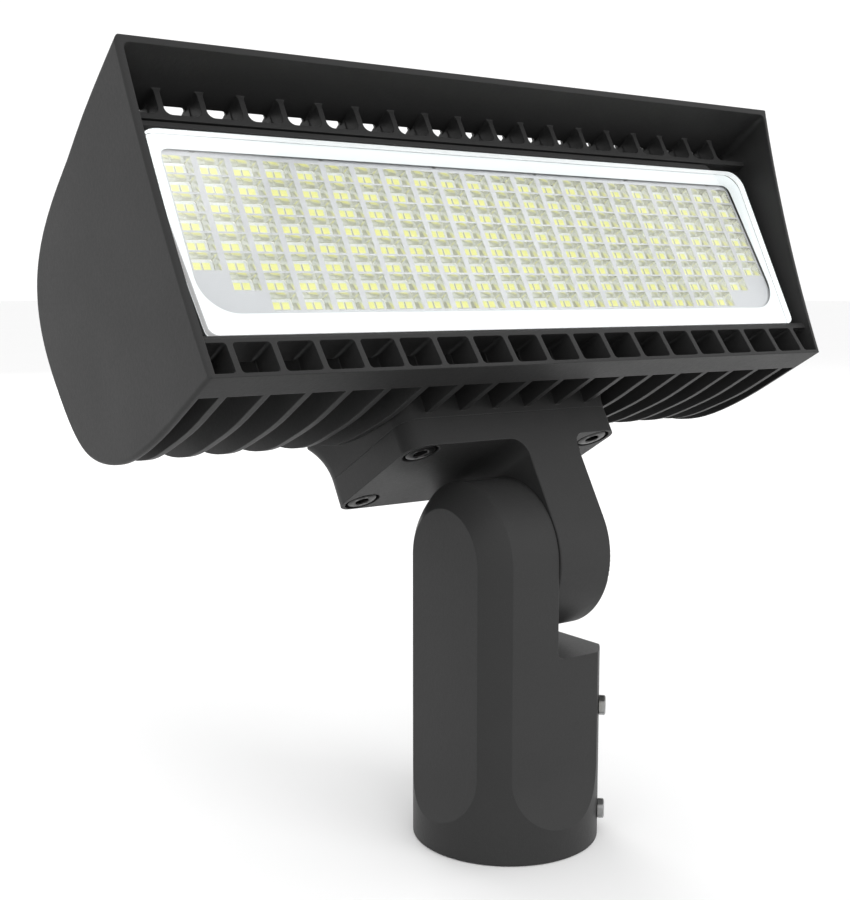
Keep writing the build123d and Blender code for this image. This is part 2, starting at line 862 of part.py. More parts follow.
def tenon_clamp_screws():
    """Hexagon-head screws through the barrel's wall towards the tenon."""
    screw = side_prism(hexagon(clamp_head_flats), barrel_radius, barrel_radius + clamp_head_height)
    screw += rod_x(clamp_screw_radius, bore_radius + loose_gap, barrel_radius)
    return Compound(children=[place * screw for place in clamp_screw_places()])


pivot_place = Pos(0, 0, pivot_height)
arm_place = pivot_place * Rot(-rest_tilt, 0, 0)
head_place = arm_place * Pos(0, 0, pad_height)

nodes = [
    (housing, head_place),
    (glass_lens, head_place),
    (glass_enamel_border, head_place),
    (glass_gasket, head_place),
    (glass_retaining_strip, head_place),
    (reflector_grid, head_place),
    (led_board, head_place),
    (led_packages, head_place),
    (thermal_pad, head_place),
    (board_screws, head_place),
    (led_driver, head_place),
    (driver_bracket, head_place),
    (driver_screws, head_place),
    (bracket_screws, head_place),
    (terminal_block, head_place),
    (pad_gasket, head_place),
    (tilt_arm, arm_place),
    (plate_bolts, arm_place),
    (plate_bolt_washers, arm_place),
    (pivot_bolt, pivot_place),
    (pivot_washer, pivot_place),
    (pivot_spring_washer, pivot_place),
    (thread_insert, pivot_place),
    (friction_washer, pivot_place),
    (knuckle_seal, pivot_place),
    (slipfitter_body, Pos(0, 0, 0)),
    (tenon_clamp_screws, Pos(0, 0, 0)),
]

os.makedirs("parts", exist_ok=True)
for make_node, place in nodes:
    solids = (place * make_node()).solids()
    export_step(Compound(children=solids), f"parts/{make_node.__name__}.step")
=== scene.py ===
"""Looks of a finned flood light on a tilting slipfitter knuckle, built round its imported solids."""

import json
import logging
import math
from dataclasses import dataclass
from dataclasses import field
from enum import Enum

import bmesh
import bpy
from mathutils import Matrix, Vector


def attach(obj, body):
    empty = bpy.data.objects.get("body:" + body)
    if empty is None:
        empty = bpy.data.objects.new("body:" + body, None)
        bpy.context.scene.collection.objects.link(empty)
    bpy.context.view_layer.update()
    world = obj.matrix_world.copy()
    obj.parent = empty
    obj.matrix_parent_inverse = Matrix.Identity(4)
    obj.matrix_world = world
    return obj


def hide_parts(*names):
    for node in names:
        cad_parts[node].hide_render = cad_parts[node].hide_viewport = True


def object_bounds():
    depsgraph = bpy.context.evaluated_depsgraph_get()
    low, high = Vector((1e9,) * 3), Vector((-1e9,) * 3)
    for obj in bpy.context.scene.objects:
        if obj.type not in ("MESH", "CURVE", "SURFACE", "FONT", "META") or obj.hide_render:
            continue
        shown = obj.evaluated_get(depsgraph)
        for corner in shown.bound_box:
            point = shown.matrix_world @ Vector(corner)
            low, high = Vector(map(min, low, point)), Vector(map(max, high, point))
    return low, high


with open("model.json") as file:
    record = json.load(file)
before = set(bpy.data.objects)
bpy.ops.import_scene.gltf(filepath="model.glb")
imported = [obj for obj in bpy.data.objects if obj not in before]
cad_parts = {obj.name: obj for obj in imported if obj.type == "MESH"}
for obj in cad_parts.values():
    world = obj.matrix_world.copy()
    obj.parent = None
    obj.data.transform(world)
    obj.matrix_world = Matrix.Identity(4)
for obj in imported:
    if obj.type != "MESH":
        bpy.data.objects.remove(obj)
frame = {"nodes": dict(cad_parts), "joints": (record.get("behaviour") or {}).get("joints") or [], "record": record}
CAD_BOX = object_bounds()
LOG = logging.getLogger("flood_light")

# The head's own frame: its pad's middle, millimetres, the light facing -Y
PIVOT = Vector(frame["joints"][0]["pos_m"])
REST_TILT = math.radians(30.0)
PAD_ABOVE_PIVOT = 52.0
TO_METRES = Matrix.Scale(0.001, 4)
WORLD = TO_METRES
ARM = Matrix.Translation(PIVOT) @ Matrix.Rotation(-REST_TILT, 4, "X") @ TO_METRES
HEAD = ARM @ Matrix.Translation((0.0, 0.0, PAD_ABOVE_PIVOT))
KNUCKLE = Matrix.Translation(PIVOT) @ TO_METRES
# Optics are drawn flat, X along the head and Y up its face, Z towards the viewer
OPTICS = HEAD @ Matrix.Rotation(math.radians(90.0), 4, "X")
ALONG_X = Matrix.Rotation(math.radians(90.0), 4, "Y")
INWARD = Matrix.Rotation(math.radians(-90.0), 4, "Y")

MERGE_DISTANCE = 0.001
SHARP_ANGLE = math.radians(32.0)
CORNER_STEPS = 8
EDGE_SAMPLES = 6
EVEN = (1.0, 1.0, 1.0)

Colour = tuple[float, float, float, float]
Stretch = tuple[float, float, float]
Socket = bpy.types.NodeSocket


def grey(value: float, warmth: float = 0.0) -> Colour:
    """A grey in linear light, a little warmer or cooler."""
    return (value * (1 + warmth), value, value * (1 - warmth), 1.0)


def shaded(colour: Colour, factor: float, lift: float = 0.0) -> Colour:
    """A colour made paler or darker, and no brighter than white."""
    red, green, blue = (min(1.0, channel * factor + lift) for channel in colour[:3])
    return (red, green, blue, 1.0)


class Signal:
    """A number that varies over a surface or the sky, for arithmetic in a node tree."""

    def __init__(self, tree: "Tree", socket: Socket) -> None:
        """Wraps an output socket of a tree."""
        self.tree = tree
        self.socket = socket

    def _maths(self, operation: str, *values: "Signal | float") -> "Signal":
        """One Math node on the given values."""
        made = self.tree.node("ShaderNodeMath", {"operation": operation}, dict(enumerate(values)))
        return Signal(self.tree, made.outputs[0])

    def __add__(self, other: "Signal | float") -> "Signal":
        """Sum."""
        return self._maths("ADD", self, other)

    def __sub__(self, other: "Signal | float") -> "Signal":
        """Difference."""
        return self._maths("SUBTRACT", self, other)

    def __rsub__(self, other: "Signal | float") -> "Signal":
        """Difference from a plain number."""
        return self._maths("SUBTRACT", other, self)

    def __mul__(self, other: "Signal | float") -> "Signal":
        """Product."""
        return self._maths("MULTIPLY", self, other)

    __radd__ = __add__
    __rmul__ = __mul__

    def between(self, low: float, high: float) -> "Signal":
        """Smooth step from 0 at low to 1 at high.

        Args:
            low: Value that gives 0.
            high: Value that gives 1.

        Returns:
            The step as a signal.
        """
        made = self.tree.node(
            "ShaderNodeMapRange",
            {"interpolation_type": "SMOOTHSTEP"},
            {"Value": self, "From Min": low, "From Max": high},
        )
        return Signal(self.tree, made.outputs[0])


class Tree:
    """Node tree of a material or of the sky."""

    def __init__(self, owner: bpy.types.Material | bpy.types.World) -> None:
        """Empties the owner's tree."""
        owner.use_nodes = True
        self.node_tree = owner.node_tree
        self.node_tree.nodes.clear()

    def node(self, kind: str, settings: dict | None = None, inputs: dict | None = None) -> bpy.types.Node:
        """Adds a node.

        Args:
            kind: Type of the node.
            settings: Properties, set before the sockets.
            inputs: Values or links of its sockets, by name or number.

        Returns:
            The node.
        """
        made = self.node_tree.nodes.new(kind)
        for name, value in (settings or {}).items():
            setattr(made, name, value)
        for name, value in (inputs or {}).items():
            source = value.socket if isinstance(value, Signal) else value
            if isinstance(source, Socket):
                self.node_tree.links.new(source, made.inputs[name])
            else:
                made.inputs[name].default_value = source
        return made


class Shader(Tree):
    """Node tree of one material."""

    def __init__(self, name: str) -> None:
        """Starts an empty material."""
        self.material = bpy.data.materials.new(name)
        super().__init__(self.material)

    def place(self, stretch: Stretch = EVEN) -> Socket:
        """Object coordinates, stretched along the axes."""
        coordinates = self.node("ShaderNodeTexCoord").outputs["Object"]
        if stretch == EVEN:
            return coordinates
        return self.node("ShaderNodeMapping", None, {"Vector": coordinates, "Scale": stretch}).outputs[0]

    def noise(self, place: Socket, size: float, detail: float = 2.0) -> Signal:
        """Cloudy noise whose features are about size metres."""
        made = self.node("ShaderNodeTexNoise", None, {"Vector": place, "Scale": 1 / size, "Detail": detail})
        return Signal(self, made.outputs[0])

    def speckle(self, place: Socket, size: float) -> Signal:
        """Round grains about size metres apart."""
        made = self.node("ShaderNodeTexVoronoi", None, {"Vector": place, "Scale": 1 / size})
        return Signal(self, made.outputs["Distance"])

    def mix(self, first: Colour | Socket, second: Colour, share: Signal) -> Socket:
        """Blends two colours by a signal."""
        # The node's colour sockets are 6 and 7, and its colour output is 2
        made = self.node("ShaderNodeMix", {"data_type": "RGBA"}, {0: share, 6: first, 7: second})
        return made.outputs[2]

    def soft_edges(self, radius: float) -> tuple[Socket, Signal]:
        """Rounds the edges in the shading.

        Args:
            radius: Radius of the rounding in metres.

        Returns:
            The rounded normal, and a signal that is high along the edges.
        """
        rounded = self.node("ShaderNodeBevel", {"samples": EDGE_SAMPLES}, {"Radius": radius}).outputs[0]
        flat = self.node("ShaderNodeNewGeometry").outputs["Normal"]
        dot = self.node("ShaderNodeVectorMath", {"operation": "DOT_PRODUCT"}, {0: rounded, 1: flat})
        return rounded, 1.0 - Signal(self, dot.outputs["Value"])

    def bump(self, height: Signal, depth: float, normal: Socket | None = None) -> Socket:
        """Bump of a height signal, depth in metres."""
        inputs = {"Height": height, "Distance": depth}
        if normal is not None:
            inputs["Normal"] = normal
        return self.node("ShaderNodeBump", None, inputs).outputs[0]

    def surface(self, inputs: dict) -> bpy.types.Material:
        """Closes the tree with a Principled shader.

        Args:
            inputs: Values or links of the shader's sockets.

        Returns:
            The finished material.
        """
        shader = self.node("ShaderNodeBsdfPrincipled", None, inputs)
        self.node("ShaderNodeOutputMaterial", None, {"Surface": shader.outputs[0]})
        return self.material


class Finish:
    """A finish makes its material once."""

    name: str

    def make(self) -> bpy.types.Material:
        """Builds the material."""
        raise NotImplementedError

    def material(self) -> bpy.types.Material:
        """The material, made at its first use."""
        return bpy.data.materials.get(self.name) or self.make()


@dataclass(frozen=True)
class PowderCoat(Finish):
    """Satin powder coat on a casting, with a painted highlight along its edges.

    The tones are multiples of the base, for dark and light clouds, for grains and for the painted edge highlight.
    """

    name: str
    base: float
    roughness: float
    edge_radius: float
    specular: float = 0.22
    grain_size: float = 0.00042
    peel_size: float = 0.0015
    cloud_size: float = 0.03
    grain_depth: float = 0.00004
    dark_tone: float = 0.9
    light_tone: float = 1.12
    grain_tone: float = 1.5
    # Tone of the painted highlight along the edges
    coat_highlight_tone: float = 2.6

    def make(self) -> bpy.types.Material:
        """Builds the material."""
        shader = Shader(self.name)
        place = shader.place()
        clouds = shader.noise(place, self.cloud_size, 3.0)
        grain = shader.noise(place, self.grain_size)
        peel = shader.noise(place, self.peel_size, 1.0)
        rounded, edges = shader.soft_edges(self.edge_radius)
        # Painted highlight: a paler base along the edges, broken up where the clouds are dark
        painted_coat_highlight = edges.between(0.01, 0.22) * clouds.between(0.25, 0.7)
        tone = shader.mix(grey(self.base * self.dark_tone), grey(self.base * self.light_tone), clouds)
        speckled = shader.mix(tone, grey(self.base * self.grain_tone), grain.between(0.55, 0.8) * 0.5)
        return shader.surface(
            {
                "Base Color": shader.mix(speckled, grey(self.base * self.coat_highlight_tone), painted_coat_highlight * 0.5),
                "Roughness": (clouds - 0.5) * 0.14 + (peel - 0.5) * 0.1 + self.roughness,
                "Normal": shader.bump(grain * 0.7 + peel, self.grain_depth, rounded),
                "Specular IOR Level": self.specular,
            }
        )


@dataclass(frozen=True)
class ClearGlass(Finish):
    """Polished pane: it only mirrors at its front face and lets the rest through."""

    name: str = "clear_pane"
    refraction: float = 1.46
    roughness: float = 0.05
    tint: Colour = (0.99, 0.998, 0.995, 1.0)

    def make(self) -> bpy.types.Material:
        """Builds the material."""
        shader = Shader(self.name)
        fresnel = shader.node("ShaderNodeFresnel", None, {"IOR": self.refraction})
        mirror = Signal(shader, fresnel.outputs[0])
        inside = Signal(shader, shader.node("ShaderNodeNewGeometry").outputs["Backfacing"])
        clear = shader.node("ShaderNodeBsdfTransparent", None, {"Color": self.tint})
        gloss = shader.node("ShaderNodeBsdfAnisotropic", None, {"Roughness": self.roughness})
        share = mirror * (1.0 - inside)
        layers = {0: share, 1: clear.outputs[0], 2: gloss.outputs[0]}
        both = shader.node("ShaderNodeMixShader", None, layers)
        shader.node("ShaderNodeOutputMaterial", None, {"Surface": both.outputs[0]})
        return shader.material


@dataclass(frozen=True)
class GroundEdge(Finish):
    """Frosted edge round the pane, lifted by a painted glow: it gives off light of its own."""

    name: str = "ground_edge"
    base: Colour = (0.93, 0.95, 0.96, 1.0)
    scratched: Colour = (0.96, 0.97, 0.98, 1.0)
    roughness: float = 0.35
    painted_glow_strength: float = 0.3
    scratch_stretch: Stretch = (1.0, 6.0, 1.0)
    scratch_size: float = 0.0006
    scratch_depth: float = 0.00003

    def make(self) -> bpy.types.Material:
        """Builds the material."""
        shader = Shader(self.name)
        scratches = shader.noise(shader.place(self.scratch_stretch), self.scratch_size)
        return shader.surface(
            {
                "Base Color": shader.mix(self.base, self.scratched, scratches),
                "Roughness": scratches * 0.3 + self.roughness,
                "Normal": shader.bump(scratches, self.scratch_depth),
                # Painted glow: the frosted edge emits white light so that it looks lit from inside the pane
                "Emission Color": grey(1.0),
                "Emission Strength": self.painted_glow_strength,
            }
        )


@dataclass(frozen=True)
class PrintedEnamel(Finish):
    """White print fired on the back of the pane, with a very fine grain."""

    name: str = "white_print"
    base: Colour = (0.91, 0.94, 0.96, 1.0)
    dense: Colour = (0.94, 0.96, 0.97, 1.0)
    roughness: float = 0.3
    grain_size: float = 0.0005
    grain_depth: float = 0.00001
    cloud_size: float = 0.05

    def make(self) -> bpy.types.Material:
        """Builds the material."""
        shader = Shader(self.name)
        place = shader.place()
        grain = shader.noise(place, self.grain_size, 3.0)
        clouds = shader.noise(place, self.cloud_size)
        return shader.surface(
            {
                "Base Color": shader.mix(self.base, self.dense, grain * 0.6 + clouds * 0.4),
                "Roughness": grain * 0.12 + self.roughness,
                "Normal": shader.bump(grain, self.grain_depth),
            }
        )


@dataclass(frozen=True)
class Silicone(Finish):
    """Matt moulded silicone with a little dust."""

    name: str
    base: Colour
    roughness: float = 0.7
    dust_tone: float = 1.7
    dust_lift: float = 0.01
    dust_size: float = 0.004
    skin_size: float = 0.0004
    skin_depth: float = 0.00003

    def make(self) -> bpy.types.Material:
        """Builds the material."""
        shader = Shader(self.name)
        place = shader.place()
        dust = shader.noise(place, self.dust_size, 4.0)
        skin = shader.noise(place, self.skin_size)
        paler = shaded(self.base, self.dust_tone, self.dust_lift)
        return shader.surface(
            {
                "Base Color": shader.mix(self.base, paler, dust.between(0.45, 0.8)),
                "Roughness": dust * 0.2 + self.roughness - 0.1,
                "Normal": shader.bump(skin, self.skin_depth),
            }
        )


@dataclass(frozen=True)
class MetallisedPlastic(Finish):
    """Vacuum metallised moulding."""

    name: str
    base: Colour
    film: Colour
    metallic: float
    roughness: float
    film_size: float = 0.012
    ripple_size: float = 0.0018
    ripple_depth: float = 0.00002

    def make(self) -> bpy.types.Material:
        """Builds the material."""
        shader = Shader(self.name)
        place = shader.place()
        film = shader.noise(place, self.film_size)
        ripple = shader.noise(place, self.ripple_size, 1.0)
        return shader.surface(
            {
                "Base Color": shader.mix(self.base, self.film, film),
                "Metallic": self.metallic,
                "Roughness": film * 0.06 + self.roughness,
                "Normal": shader.bump(ripple, self.ripple_depth),
            }
        )


@dataclass(frozen=True)
class SolderMask(Finish):
    """White board with traces that stand a little proud under the mask."""

    name: str = "white_mask"
    base: Colour = (0.82, 0.84, 0.84, 1.0)
    over_traces: Colour = (0.88, 0.89, 0.88, 1.0)
    roughness: float = 0.3
    trace_stretch: Stretch = (1.0, 0.2, 0.2)
    trace_size: float = 0.002
    trace_depth: float = 0.00003
    weave_size: float = 0.0006

    def make(self) -> bpy.types.Material:
        """Builds the material."""
        shader = Shader(self.name)
        stripes = shader.noise(shader.place(self.trace_stretch), self.trace_size, 0.0)
        traces = stripes.between(0.48, 0.52)
        weave = shader.noise(shader.place(), self.weave_size)
        return shader.surface(
            {
                "Base Color": shader.mix(self.base, self.over_traces, traces),
                "Roughness": weave * 0.1 + self.roughness,
                "Normal": shader.bump(traces + weave * 0.2, self.trace_depth),
            }
        )


@dataclass(frozen=True)
class Phosphor(Finish):
    """Pale yellow phosphor grains in clear silicone."""

    name: str = "phosphor_gel"
    base: Colour = (0.85, 0.84, 0.3, 1.0)
    pale_grain: Colour = (0.9, 0.89, 0.4, 1.0)
    roughness: float = 0.3
    grain_size: float = 0.00025
    grain_depth: float = 0.00001

    def make(self) -> bpy.types.Material:
        """Builds the material."""
        shader = Shader(self.name)
        grains = shader.noise(shader.place(), self.grain_size)
        return shader.surface(
            {
                "Base Color": shader.mix(self.base, self.pale_grain, grains),
                "Roughness": grains * 0.15 + self.roughness,
                "Normal": shader.bump(grains, self.grain_depth),
            }
        )


@dataclass(frozen=True)
class BareMetal(Finish):
    """Plated or bare metal with fine working marks, duller patches and a painted highlight along its edges."""

    name: str
    base: Colour
    stain: Colour
    roughness: float = 0.32
    marks: Stretch = EVEN
    mark_size: float = 0.0009
    edge_radius: float = 0.0002
    # Tone of the painted highlight along the edges
    metal_highlight_tone: float = 1.35
    mark_depth: float = 0.00001
    patch_size: float = 0.006

    def make(self) -> bpy.types.Material:
        """Builds the material."""
        shader = Shader(self.name)
        lines = shader.noise(shader.place(self.marks), self.mark_size, 3.0)
        patches = shader.noise(shader.place(), self.patch_size, 4.0)
        rounded, edges = shader.soft_edges(self.edge_radius)
        # Painted highlight: a paler copy of the base along the edges
        painted_metal_highlight = shaded(self.base, self.metal_highlight_tone)
        tone = shader.mix(self.base, self.stain, patches.between(0.4, 0.75) * 0.7)
        return shader.surface(
            {
                "Base Color": shader.mix(tone, painted_metal_highlight, edges.between(0.02, 0.3)),
                "Metallic": 1.0,
                "Roughness": (patches - 0.5) * 0.25 + (lines - 0.5) * 0.15 + self.roughness,
                "Normal": shader.bump(lines, self.mark_depth, rounded),
            }
        )


@dataclass(frozen=True)
class Moulded(Finish):
    """Injection moulded plastic or potted case with a fine spark texture."""

    name: str
    base: Colour
    roughness: float = 0.45
    grain_size: float = 0.0006
    edge_radius: float = 0.0005
    grain_depth: float = 0.00002
    cloud_tone: float = 0.85
    cloud_size: float = 0.02

    def make(self) -> bpy.types.Material:
        """Builds the material."""
        shader = Shader(self.name)
        place = shader.place()
        grain = shader.speckle(place, self.grain_size)
        clouds = shader.noise(place, self.cloud_size)
        rounded, edges = shader.soft_edges(self.edge_radius)
        shade = shaded(self.base, self.cloud_tone)
        return shader.surface(
            {
                "Base Color": shader.mix(self.base, shade, clouds * 0.6 + grain * 0.3),
                "Roughness": grain * 0.15 + edges * 0.1 + self.roughness,
                "Normal": shader.bump(grain, self.grain_depth, rounded),
            }
        )


HOUSING_COAT = PowderCoat("housing_powder_coat", base=0.029, roughness=0.5, edge_radius=0.0007)
KNUCKLE_COAT = PowderCoat("knuckle_powder_coat", base=0.032, roughness=0.48, edge_radius=0.0006)
BLACK_SILICONE = Silicone("black_seal", grey(0.012))
THERMAL_SHEET = Silicone("thermal_sheet", (0.3, 0.33, 0.38, 1.0), 0.6)
STAINLESS = BareMetal("stainless_steel", grey(0.55), grey(0.42, 0.03), 0.28)
ZINC_STEEL = BareMetal("zinc_plated_steel", grey(0.32, -0.01), (0.24, 0.235, 0.21, 1.0), 0.34)
BLACK_STEEL = BareMetal("black_zinc_steel", grey(0.045), grey(0.03, 0.04), 0.4)
ZINC_SHEET = BareMetal("zinc_sheet", grey(0.56, -0.01), grey(0.44, -0.03), 0.34, (1.0, 1.0, 0.12), 0.003)
BRASS = BareMetal("turned_brass", (0.6, 0.42, 0.16, 1.0), (0.42, 0.3, 0.13, 1.0), 0.28, (1.0, 0.1, 0.1))
DRIVER_CASE = Moulded("driver_case", grey(0.55))
TRAY_FACE = MetallisedPlastic("tray_face", (0.5, 0.5, 0.52, 1.0), (0.56, 0.56, 0.58, 1.0), 0.3, 0.34)
TRAY_POCKET = MetallisedPlastic("tray_pocket", (0.82, 0.82, 0.77, 1.0), (0.88, 0.88, 0.83, 1.0), 1.0, 0.16)
TERMINAL_PLASTIC = Moulded("terminal_plastic", (0.6, 0.58, 0.5, 1.0), 0.3)
FRICTION_DISC = Moulded("friction_disc", (0.05, 0.047, 0.04, 1.0), 0.7, 0.0011)
PACKAGE_FRAME = Moulded("package_frame", (0.86, 0.86, 0.74, 1.0), 0.35, 0.0003, 0.0001)

FINISH_OF_SLOT = {
    "housing_coat": HOUSING_COAT,
    "knuckle_coat": KNUCKLE_COAT,
    "clear_glass": ClearGlass(),
    "white_enamel": PrintedEnamel(),
    "black_silicone": BLACK_SILICONE,
    "metallised_tray": TRAY_FACE,
    "board_white": SolderMask(),
    "phosphor": Phosphor(),
    "thermal_silicone": THERMAL_SHEET,
    "stainless": STAINLESS,
    "driver_case": DRIVER_CASE,
    "zinc_sheet": ZINC_SHEET,
    "terminal_plastic": TERMINAL_PLASTIC,
    "black_steel": BLACK_STEEL,
    "zinc_steel": ZINC_STEEL,
    "insert_brass": BRASS,
    "friction_plastic": FRICTION_DISC,
}


class Body(Enum):
    """The two bodies that the joint parts."""

    BASE = "base"
    HEAD = "head"


class Outline(Enum):
    """Shapes that a ring can have."""

    ROUND = 0
    HEXAGON = 6


@dataclass(frozen=True)
class Ring:
    """One ring of a turned or broached shape.

    The radius of a hexagon is half its width across flats. The droop lowers a hexagon's corners,
    as the cone of a chamfer does.
    """

    height: float
    radius: float
    outline: Outline = Outline.ROUND
    droop: float = 0.0

    def point(self, angle: float) -> Vector:
        """The ring's point at an angle."""
        radius = self.radius
        if self.outline is Outline.HEXAGON:
            side = math.tau / self.outline.value
            radius /= math.cos(angle % side - side / 2)
        height = self.height - self.droop * (radius - self.radius)
        return Vector((radius * math.cos(angle), radius * math.sin(angle), height))


@dataclass(frozen=True)
class RoundedSection:
    """One level of a pocket: a rectangle with round corners."""

    height: float
    half_width: float
    half_depth: float
    corner: float

    def point(self, angle: float) -> Vector:
        """The outline's point that belongs to an angle of the corner arcs."""
        across = math.cos(angle)
        along = math.sin(angle)
        x = math.copysign(self.half_width - self.corner, across) + self.corner * across
        y = math.copysign(self.half_depth - self.corner, along) + self.corner * along
        return Vector((x, y, self.height))


def add_ring(work: bmesh.types.BMesh, section: Ring | RoundedSection, steps: int) -> list[bmesh.types.BMEdge]:
    """Adds the loop of edges of a section.

    Args:
        work: Mesh that gets the loop.
        section: Its shape.
        steps: Number of edges.

    Returns:
        The loop's edges.
    """
    half_step = Matrix.Rotation(math.pi / steps, 4, "Z")
    made = bmesh.ops.create_circle(work, cap_ends=False, radius=1.0, segments=steps, matrix=half_step)
    for vertex in made["verts"]:
        vertex.co = section.point(math.atan2(vertex.co.y, vertex.co.x))
    return list(dict.fromkeys(edge for vertex in made["verts"] for edge in vertex.link_edges))


def loft(work: bmesh.types.BMesh, sections: list, steps: int, caps: tuple[bool, bool]) -> None:
    """Joins sections with walls.

    Args:
        work: Mesh that gets the walls.
        sections: Rings in their order.
        steps: Number of edges of each ring.
        caps: Whether the first and the last ring are closed.
    """
    loops = [add_ring(work, section, steps) for section in sections]
    for loop, after in zip(loops, loops[1:]):
        bmesh.ops.bridge_loops(work, edges=loop + after)
    for loop, closed in zip((loops[0], loops[-1]), caps):
        if closed:
            bmesh.ops.edgeloop_fill(work, edges=loop)


def copies(work: bmesh.types.BMesh, places: list[Matrix]) -> None:
    """Repeats all of a mesh at several places, in place of the one there is."""
    pattern = work.verts[:] + work.edges[:] + work.faces[:]
    for place in places:
        made = bmesh.ops.duplicate(work, geom=pattern)
        vertices = [item for item in made["geom"] if isinstance(item, bmesh.types.BMVert)]
        bmesh.ops.transform(work, matrix=place, verts=vertices)
    bmesh.ops.delete(work, geom=[item for item in pattern if isinstance(item, bmesh.types.BMVert)])


@dataclass
class Piece:
    """How a new mesh becomes a piece of the object."""

    name: str
    body: Body
    slot: str
    place: Matrix
    finishes: tuple[Finish, ...]
    stands_for: tuple[str, ...] = ()
    sharp: float = SHARP_ANGLE

    def finish(self, work: bmesh.types.BMesh) -> None:
        """Closes the mesh, puts it in place, dresses it and lets it ride on its body.

        Args:
            work: The mesh in the piece's own millimetres.
        """
        bmesh.ops.remove_doubles(work, verts=work.verts, dist=MERGE_DISTANCE)
        bmesh.ops.recalc_face_normals(work, faces=work.faces)
        work.transform(self.place)
        mesh = bpy.data.meshes.new(self.name)
        work.to_mesh(mesh)
        work.free()
        mesh.shade_smooth()
        mesh.set_sharp_from_angle(angle=self.sharp)
        for finish in self.finishes:
            mesh.materials.append(finish.material())
        piece = bpy.data.objects.new(self.name, mesh)
        bpy.context.scene.collection.objects.link(piece)
        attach(piece, self.body.value)
        if self.stands_for:
            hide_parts(*self.stands_for)
        LOG.info("%s: %d faces on %s", self.name, len(mesh.polygons), self.body.value)


